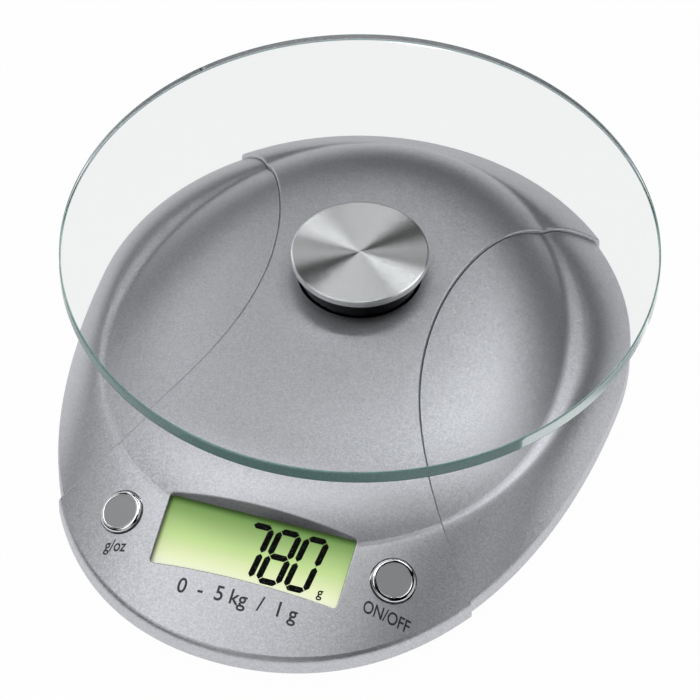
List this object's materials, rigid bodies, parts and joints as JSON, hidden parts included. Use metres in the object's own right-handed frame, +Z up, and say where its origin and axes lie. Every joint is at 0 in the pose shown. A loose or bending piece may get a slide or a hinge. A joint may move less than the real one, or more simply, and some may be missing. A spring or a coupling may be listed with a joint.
{
  "type": "kitchen scale",
  "caption": "Digital kitchen scale: a round glass weighing plate on a neck over an egg-shaped silver housing with a back-lit display and push buttons.",
  "frame": {"origin": "on the table, under the middle of the part's box", "axes": "+Z up, -Y towards the display and the person who reads it, +X to that person's right"},
  "size_m": [0.2, 0.2448, 0.055],
  "materials": {
    "clear_glass": "polished, green seen through the edge",
    "spun_aluminium": "spun, fine rings",
    "black_gloss": "glossy",
    "cast_aluminium": "as cast",
    "zinc_steel": "zinc plated",
    "cell_aluminium": "milled",
    "white_silicone": "soft",
    "silver_shell": "silver metallic paint, satin",
    "lens_clear": "clear",
    "lcd_green": "polished",
    "light_guide": "frosted",
    "dark_rubber": "matt",
    "white_plastic": "moulded",
    "board_green": "solder resist",
    "black_resin": "satin",
    "button_chrome": "polished",
    "grey_plastic": "fine grain",
    "battery_can": "printed sleeve, plain",
    "contact_nickel": "nickel plated",
    "grey_sleeve": "cable sleeve",
    "red_sleeve": "cable sleeve"
  },
  "bodies": {
    "base": {"load_cell": "cell_aluminium", "gauge_seal": "white_silicone", "beam_screws": "zinc_steel", "overload_stop": "zinc_steel", "centre_cover": "silver_shell", "left_side_cover": "silver_shell", "right_side_cover": "silver_shell", "display_lens": "lens_clear", "lcd_panel": "lcd_green", "backlight": "light_guide", "contact_strip": "dark_rubber", "lcd_frame": "white_plastic", "main_board": "board_green", "board_screws": "zinc_steel", "controller_chip": "black_resin", "left_key_switch": "black_resin", "right_key_switch": "black_resin", "base_tray": "grey_plastic", "cover_screws": "zinc_steel", "front_battery": "battery_can", "back_battery": "battery_can", "contact_positive": "contact_nickel", "contact_negative": "contact_nickel", "contact_bridge": "contact_nickel", "load_cell_lead": "grey_sleeve", "battery_leads": "red_sleeve", "foot_front_left": "dark_rubber", "foot_front_right": "dark_rubber", "foot_back_left": "dark_rubber", "foot_back_right": "dark_rubber"},
    "platform": {"glass_plate": "clear_glass", "plate_disc": "spun_aluminium", "platform_hub": "black_gloss", "load_carrier": "cast_aluminium", "carrier_screws": "zinc_steel", "hub_screws": "zinc_steel"},
    "unit_button": {"unit_button": "button_chrome", "left_key_plunger": "white_plastic"},
    "on_button": {"on_button": "button_chrome", "right_key_plunger": "white_plastic"},
    "battery_door": {"battery_door": "grey_plastic"}
  },
  "joints": [
    {"name": "platform_load", "type": "slide", "parent": "base", "child": "platform", "axis": [0, 0, 1], "range_m": [-0.0005, 0], "stiffness_N_per_m": 98100, "springref_m": 0.00005, "deforming": ["load_cell"]},
    {"name": "unit_press", "type": "slide", "parent": "base", "child": "unit_button", "axis": [0.2815, 0.39, -0.8767], "range_m": [0, 0.00035], "stiffness_N_per_m": 4500, "springref_m": -0.00002},
    {"name": "on_press", "type": "slide", "parent": "base", "child": "on_button", "axis": [-0.2815, 0.39, -0.8767], "range_m": [0, 0.00035], "stiffness_N_per_m": 4500, "springref_m": -0.00002},
    {"name": "battery_door_hinge", "type": "hinge", "parent": "base", "child": "battery_door", "pos_m": [0, -0.0307, 0.0035], "axis": [1, 0, 0], "range_deg": [0, 95]}
  ]
}
